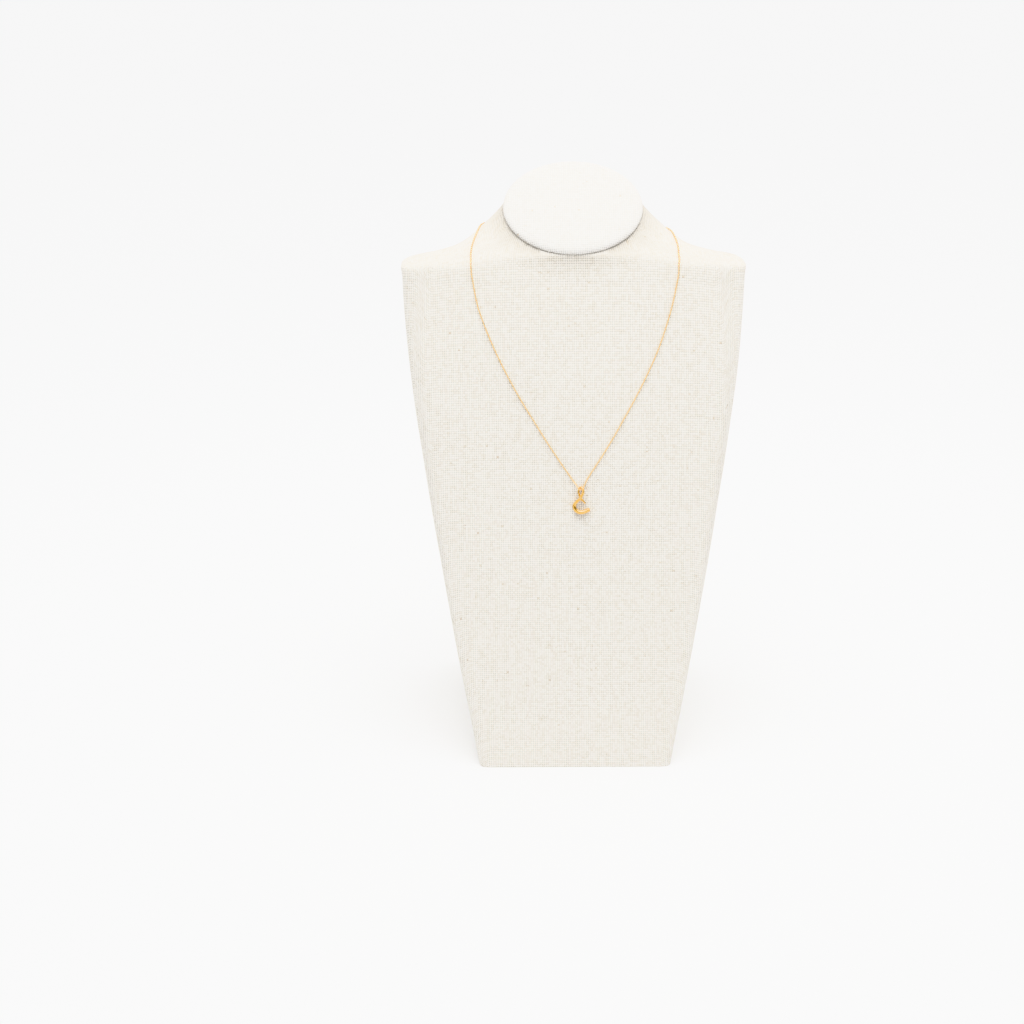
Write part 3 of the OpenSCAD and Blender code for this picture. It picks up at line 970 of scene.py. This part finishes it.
def make_weave():
    group, given, made = new_group(
        "plain_weave",
        [("Place", "NodeSocketVector", None), ("Threads", "NodeSocketFloat", 800),
         ("Slub", "NodeSocketFloat", 0.3), ("Run", "NodeSocketFloat", 0.3)],
        ["Height", "Shade", "Fleck"])
    place = add_node(group, "ShaderNodeSeparateXYZ", {0: given["Place"]}).outputs
    counted = [sum_of(group, "MULTIPLY", place[k], given["Threads"]) for k in (0, 1)]
    thread = [sum_of(group, "FLOOR", c) for c in counted]
    humps = []
    for c in counted:
        from_middle = sum_of(group, "SUBTRACT", sum_of(group, "FRACT", c), 0.5)
        humps.append(sum_of(group, "COSINE", sum_of(group, "MULTIPLY", from_middle, math.pi)))
    which = sum_of(group, "PINGPONG", sum_of(group, "ADD", *thread), 1)

    def spun(across, along, far):
        """Noise that belongs to one thread and changes slowly along it. Far tells two apart."""
        at = add_node(group, "ShaderNodeCombineXYZ", {
            0: sum_of(group, "MULTIPLY", across, NEXT_THREAD),
            1: sum_of(group, "MULTIPLY", along, given["Run"]),
            2: far}).outputs[0]
        return noise(group, at, 1.0, Detail=1.0)

    def upper(of_warp, of_weft):
        """The value of whichever thread lies on top."""
        return blend(group, which, of_warp, of_weft)

    shade = upper(spun(thread[0], counted[1], 3.7), spun(thread[1], counted[0], 9.1))
    fleck = upper(spun(thread[0], counted[1], 21.3), spun(thread[1], counted[0], 34.9))
    crowned = [sum_of(group, "MULTIPLY_ADD", h, CROWN, 1 - CROWN) for h in humps]
    warp_height = sum_of(group, "MULTIPLY", humps[0], crowned[1])
    weft_height = sum_of(group, "MULTIPLY", humps[1], crowned[0])
    thick = sum_of(group, "MULTIPLY_ADD", sum_of(group, "SUBTRACT", shade, 0.5), given["Slub"], 1)
    feed(group, made["Height"], sum_of(group, "MULTIPLY", upper(warp_height, weft_height), thick))
    feed(group, made["Shade"], shade)
    feed(group, made["Fleck"], fleck)
    return group


plain_weave = make_weave()
print("weave group has", len(plain_weave.nodes), "nodes")

# %% [markdown]
# Close under the cap the neck's cloth lies in the cap's shade, and that shade is painted into
# the cloth's colour as a darker tone. It could be drawn in a picture, but a distance is
# enough: vector sums measure how far a place is from the middle of the neck's top, with the
# neck's oval drawn in to a circle, and whether it lies below that top. The fold in the seam
# is above it and is left out of the painted shade. A colour ramp turns the nearness into the
# tone.

# %% Painted shade under the cap
PAINTED_SHADE_REACH = 15


def vector_of(tree, what, *values):
    """The outputs of a vector sum: the first is a vector, Value is a number."""
    return add_node(tree, "ShaderNodeVectorMath", dict(enumerate(values)), operation=what).outputs


def object_place(tree):
    return add_node(tree, "ShaderNodeTexCoord", {}).outputs["Object"]


def mapped(tree, value, low, high, to_low=0.0, to_high=1.0):
    """A number carried from one range to another, and kept inside it."""
    return add_node(tree, "ShaderNodeMapRange", {
        "Value": value, "From Min": low, "From Max": high,
        "To Min": to_low, "To Max": to_high}).outputs[0]


def ramp(tree, value, *stops):
    """A colour ramp from pairs of place and linear colour."""
    node = add_node(tree, "ShaderNodeValToRGB", {"Fac": value})
    band = node.color_ramp.elements
    while len(band) < len(stops):
        band.new(0.5)
    for element, (place, colour) in zip(band, stops):
        element.position = place
        element.color = (*colour, 1)
    return node.outputs["Color"]


def painted_shade_under_cap(tree, tone):
    """Painted shade: white, turning to the tone on the neck close under the cap, but not on the
    fold.
    """
    from_cap = vector_of(tree, "SUBTRACT", object_place(tree), tuple(cap_centre * MM))[0]
    rounded = vector_of(tree, "MULTIPLY", from_cap, (NECK_D / NECK_W, 1, 1))[0]
    away = vector_of(tree, "LENGTH", rounded)["Value"]
    near = mapped(tree, away, (NECK_D / 2 + PAINTED_SHADE_REACH) * MM, NECK_D / 2 * MM)
    above = vector_of(tree, "DOT_PRODUCT", from_cap, tuple(cap_up))["Value"]
    on_neck = sum_of(tree, "MULTIPLY", near, sum_of(tree, "LESS_THAN", above, 0.0))
    halfway = tuple((1 + c) / 2 for c in tone)
    return ramp(tree, on_neck, (0.05, (1, 1, 1)), (0.5, halfway), (0.85, tone))


# The painted shade under the cap fades out over this distance.
print("dust reaches", PAINTED_SHADE_REACH, "mm out from the neck's top edge")

# %% [markdown]
# Unbleached linen is warm white with threads that run from cream to straw, and here and
# there a brown fleck of bark that the spinner left in. One ramp turns a thread's shade into
# its colour, a second one lets only the strongest noise through as flecks, and the height
# drives the bump and darkens the gaps between threads, which is painted shade in the weave's
# hollows. The bust and the cap are cut from the same bolt. The cap faces the light, so its
# colours and its gaps are painted lighter, a lit copy of the bust's linen in one shared recipe.

# %% Linen materials
THREADS = 810
STRAW_AT, PALE_AT = 0.34, 0.58
GAP_AT, TOP_AT = 0.10, 0.60
FLECK_EDGE = 0.08


def new_material(name):
    """A material with its tree and its surface shader."""
    material = bpy.data.materials.new(name)
    material.use_nodes = True
    return material, material.node_tree, material.node_tree.nodes["Principled BSDF"]


def blend_colours(tree, how_much, first, second, way="MIX"):
    """Two colours laid over each other."""
    node = add_node(tree, "ShaderNodeMix", {0: how_much, 6: first, 7: second},
                    data_type="RGBA", blend_type=way)
    return node.outputs[2]


def finish(tree, surface, bump_height, bump_distance, bump_strength=1.0, **values):
    """Feeds the surface's sockets, named with _ for a space, and gives it a bump."""
    for name, value in values.items():
        feed(tree, surface.inputs[name.replace("_", " ")], value)
    bump = add_node(tree, "ShaderNodeBump", {
        "Height": bump_height, "Distance": bump_distance, "Strength": bump_strength})
    feed(tree, surface.inputs["Normal"], bump.outputs["Normal"])


def make_linen(name, pale, straw, fleck, painted_gap_shade, fleck_from, relief, under_cap_shade=None):
    material, tree, surface = new_material(name)
    place = add_node(tree, "ShaderNodeUVMap", {}, uv_map="cloth").outputs["UV"]
    weave = add_node(tree, "ShaderNodeGroup", {}, node_tree=plain_weave)
    feed(tree, weave.inputs["Place"], place)
    feed(tree, weave.inputs["Threads"], THREADS)
    shade, height = weave.outputs["Shade"], weave.outputs["Height"]
    thread_colour = ramp(tree, shade, (STRAW_AT, straw), (PALE_AT, pale))
    flecks = ramp(tree, weave.outputs["Fleck"],
                  (fleck_from, (0, 0, 0)), (fleck_from + FLECK_EDGE, (1, 1, 1)))
    cloth = blend_colours(tree, flecks, thread_colour, (*fleck, 1))
    # The gaps between threads are darkened: painted shade in the weave's hollows.
    gaps = ramp(tree, height, (GAP_AT, (painted_gap_shade,) * 3), (TOP_AT, (1, 1, 1)))
    cloth = blend_colours(tree, 1.0, cloth, gaps, "MULTIPLY")
    # Painted shade under the cap, multiplied into the cloth's colour.
    if under_cap_shade:
        cloth = blend_colours(tree, 1.0, cloth, painted_shade_under_cap(tree, under_cap_shade), "MULTIPLY")
    finish(tree, surface, height, relief, 0.6, Base_Color=cloth,
           Roughness=sum_of(tree, "MULTIPLY_ADD", shade, -0.12, 0.94),
           Specular_IOR_Level=0.2, Sheen_Weight=0.1, Sheen_Roughness=0.5)
    return material


# The bust's linen carries the painted shade under the cap, in this darker tone.
bust_linen = make_linen(
    "bust_linen", pale=(0.80, 0.774, 0.727), straw=(0.715, 0.676, 0.61), fleck=(0.57, 0.50, 0.41),
    painted_gap_shade=0.54, fleck_from=0.72, relief=0.00025, under_cap_shade=(0.77, 0.755, 0.735))
# The cap's linen is the bust's with lighter colours and lighter gaps: painted light, as the cap
# faces the lamps.
cap_linen = make_linen(
    "cap_linen", pale=(0.80, 0.785, 0.757), straw=(0.74, 0.72, 0.685), fleck=(0.60, 0.52, 0.42),
    painted_gap_shade=0.58, fleck_from=0.74, relief=0.0002)
print("linens with", THREADS, "threads a metre")

# %% [markdown]
# The seam's thread is waxed linen, two strands twisted together. A wave running slantwise
# over the stitches stands for the twist. The board under the foot is pressed fibre, brown
# with darker specks.

# %% Thread and board materials
def make_thread():
    material, tree, surface = new_material("waxed_thread")
    twist = add_node(tree, "ShaderNodeTexWave", {
        "Vector": object_place(tree), "Scale": 700, "Distortion": 1.5},
        bands_direction="DIAGONAL").outputs["Fac"]
    colour = ramp(tree, twist, (0.2, (0.52, 0.43, 0.31)), (0.8, (0.78, 0.70, 0.57)))
    finish(tree, surface, twist, 0.00006, Base_Color=colour, Roughness=0.55)
    return material


def make_board():
    material, tree, surface = new_material("fibreboard")
    fibres = noise(tree, object_place(tree), 900, Detail=6, Roughness=0.7)
    colour = ramp(tree, fibres, (0.35, (0.13, 0.08, 0.045)), (0.62, (0.36, 0.25, 0.15)))
    finish(tree, surface, fibres, 0.0001, Base_Color=colour, Roughness=0.85)
    return material


seam_material, board_material = make_thread(), make_board()
print("thread and board made")

# %% [markdown]
# Polished gold is a mirror with a colour, so it is metallic all over and takes its look from
# what it reflects. Real polish is never perfect: buffing leaves faint cloudy patches and
# hairlines, which blur the reflection here and there. That is one group, placed in each gold
# with its own scale and strength.

# %% Polish group
LINE_SHARE, LINES_FINER = 0.35, 9
LINE_STRETCH = (1.0, 0.25, 0.12)
BUFFED_RANGE = (0.38, 0.62)


def make_polish():
    group, given, made = new_group(
        "buffed_metal",
        [("Place", "NodeSocketVector", None), ("Scale", "NodeSocketFloat", 1500),
         ("Clean", "NodeSocketFloat", 0.12), ("Worn", "NodeSocketFloat", 0.3)],
        ["Roughness", "Height"])
    cloudy = noise(group, given["Place"], given["Scale"], Detail=2.0)
    long_way = vector_of(group, "MULTIPLY", given["Place"], LINE_STRETCH)[0]
    finer = sum_of(group, "MULTIPLY", given["Scale"], LINES_FINER)
    lines = noise(group, long_way, finer, Detail=1.0)
    clouds = sum_of(group, "MULTIPLY", cloudy, 1 - LINE_SHARE)
    both = sum_of(group, "MULTIPLY_ADD", lines, LINE_SHARE, clouds)
    rough = mapped(group, both, *BUFFED_RANGE, given["Clean"], given["Worn"])
    feed(group, made["Roughness"], rough)
    feed(group, made["Height"], both)
    return group


buffed = make_polish()
print("polish group has", len(buffed.nodes), "nodes")

# %% [markdown]
# The letter is high polished and the deepest yellow. The chain's links are too small to
# polish singly, so they are paler and a little rougher, and the clasp lies in between. Each
# gold mixes two tones by the same cloudy patches that blur its reflection.

# %% Gold materials
def make_gold(name, colour, deep, scale, clean, worn, relief):
    material, tree, surface = new_material(name)
    polish = add_node(tree, "ShaderNodeGroup", {}, node_tree=buffed)
    for label, value in (("Place", object_place(tree)), ("Scale", scale),
                         ("Clean", clean), ("Worn", worn)):
        feed(tree, polish.inputs[label], value)
    height = polish.outputs["Height"]
    tones = ramp(tree, height, (0.4, colour), (0.6, deep))
    finish(tree, surface, height, relief, Base_Color=tones,
           Roughness=polish.outputs["Roughness"], Metallic=1.0)
    return material


letter_gold = make_gold("letter_gold", (0.96, 0.63, 0.22), (0.90, 0.54, 0.15),
                        scale=420, clean=0.07, worn=0.16, relief=0.00002)
chain_gold = make_gold("chain_gold", (1.0, 0.78, 0.46), (0.98, 0.73, 0.40),
                       scale=700, clean=0.14, worn=0.28, relief=0.00001)
clasp_gold = make_gold("clasp_gold", (0.98, 0.65, 0.26), (0.94, 0.58, 0.20),
                       scale=600, clean=0.12, worn=0.26, relief=0.00001)
print("golds made")

# %% [markdown]
# The end link and the catch ring are plain rings whose solids are right as they are, so they
# stay and take the clasp's gold. Every other solid is hidden by the finer piece that stands
# for it. Every piece rides on the model's one body.

# %% Finishes, bodies and replaced solids
for piece, material, slot_name in (
    (bust_cover, bust_linen, "linen"),
    (cap_cover, cap_linen, "cap_linen"),
    (seam_thread, seam_material, "linen"),
    (foot_board, board_material, "linen"),
    (chain_links, chain_gold, "chain_gold"),
    (letter, letter_gold, "letter_gold"),
    (spring_ring, clasp_gold, "clasp_gold"),
):
    piece.data.materials.append(material)
    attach(piece, "root")

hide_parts("bust_body")
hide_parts("neck_cap")
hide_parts("chain")
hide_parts("letter_c")
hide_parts("clasp")

for node_name in ("end_link", "catch_ring"):
    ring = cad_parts[node_name]
    for slot_place in ring.material_slots:
        slot_place.material = clasp_gold
    print(node_name, "has", len(ring.material_slots), "material slots")

# %% [markdown]
# The studio is a pale seamless floor under a tent of soft light. The floor runs far back, so
# that no edge of it shows behind the bust.

# %% Floor
FLOOR_REACH = 7.0
floor_mesh = bpy.data.meshes.new("floor")
floor_mesh.from_pydata([(-FLOOR_REACH, -FLOOR_REACH, 0), (FLOOR_REACH, -FLOOR_REACH, 0),
                        (FLOOR_REACH, FLOOR_REACH, 0), (-FLOOR_REACH, FLOOR_REACH, 0)],
                       [], [(0, 1, 2, 3)])
floor = bpy.data.objects.new("floor", floor_mesh)
bpy.context.scene.collection.objects.link(floor)
floor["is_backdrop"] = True

floor_material, floor_tree, floor_surface = new_material("pale_floor")
grain = noise(floor_tree, object_place(floor_tree), 3.0)
feed(floor_tree, floor_surface.inputs["Base Color"],
     ramp(floor_tree, grain, (0.3, (0.955, 0.955, 0.955)), (0.7, (0.965, 0.965, 0.965))))
floor_surface.inputs["Roughness"].default_value = 0.9
floor_surface.inputs["Specular IOR Level"].default_value = 0.0
floor_mesh.materials.append(floor_material)
print("floor", 2 * FLOOR_REACH, "m across")

# %% [markdown]
# The light comes from above, as over a product table. A great diffuser overhead is a sun with
# a very wide angle, so it lights the whole floor alike. Two round soft boxes hang near the
# bust, one over it and one to the right, and make its shoulders and cap the brightest part.
# The room's own pale glow fills the shadows. Polished metal shows what it reflects, so for
# reflections alone the room is bright overhead and to the left and dim elsewhere, as a tent
# with one lit panel is. That gives the gold its light and dark sides. The neutral view
# transform keeps colours true and rolls off gently near white, as a camera does in a white
# studio.

# %% Light
ROOM_GLOW = 0.6
SKY_SEEN = 1.7
SHINE_DARK, SHINE_BRIGHT = 0.3, 1.9
SHINE_TOWARD, SHINE_EDGE = (-0.4, 0, 1), (0.25, 0.75)
DIFFUSER_STRENGTH, DIFFUSER_ANGLE = 2.6, 80
SOFT_BOXES = [
    # watts, place in metres
    (4.5, (0, 0.05, 0.85)),
    (0.8, (0.45, 0, 0.80)),
]
BOX_SIZE = 0.5
BOX_TARGET = Vector((0, 0.03, 0.20))

world = bpy.data.worlds.new("studio")
world.use_nodes = True
bpy.context.scene.world = world
sky_tree = world.node_tree
sky = sky_tree.nodes["Background"]
ray = add_node(sky_tree, "ShaderNodeLightPath", {}).outputs
looked = add_node(sky_tree, "ShaderNodeTexCoord", {}).outputs["Generated"]
toward_panel = vector_of(sky_tree, "DOT_PRODUCT", looked, SHINE_TOWARD)["Value"]
shine = mapped(sky_tree, toward_panel, *SHINE_EDGE, SHINE_DARK, SHINE_BRIGHT)
unseen = blend(sky_tree, ray["Is Glossy Ray"], ROOM_GLOW, shine)
seen = blend(sky_tree, ray["Is Camera Ray"], unseen, SKY_SEEN)
feed(sky_tree, sky.inputs["Strength"], seen)
sky.inputs["Color"].default_value = (1, 1, 1, 1)


def add_lamp(name, kind, energy, toward, place=(0, 0, 1)):
    """A lamp at a place that shines away from the direction toward it."""
    data = bpy.data.lights.new(name, kind)
    data.energy = energy
    lamp = bpy.data.objects.new(name, data)
    lamp.location = place
    lamp.rotation_euler = toward.to_track_quat("Z", "Y").to_euler()
    bpy.context.scene.collection.objects.link(lamp)
    return data


diffuser = add_lamp("diffuser", "SUN", DIFFUSER_STRENGTH, Vector((0, -0.035, 1)))
diffuser.angle = math.radians(DIFFUSER_ANGLE)
for watts, place in SOFT_BOXES:
    box = add_lamp("soft_box", "AREA", watts, Vector(place) - BOX_TARGET, place)
    box.shape = "DISK"
    box.size = BOX_SIZE

view = bpy.context.scene.view_settings
view.view_transform = "Khronos PBR Neutral"
view.look = "None"
view.exposure = 0.0
print("soft boxes", len(SOFT_BOXES), "view", view.view_transform)

# %% [markdown]
# The dressed model is measured, and its box is kept beside the solids' box and printed.

# %% Size
bpy.context.view_layer.update()
dressed_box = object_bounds()
sizes = {"cad": [list(map(float, corner)) for corner in cad_box],
         "visual": [list(map(float, corner)) for corner in dressed_box]}
print("dressed box", [[round(x, 4) for x in corner] for corner in sizes["visual"]])
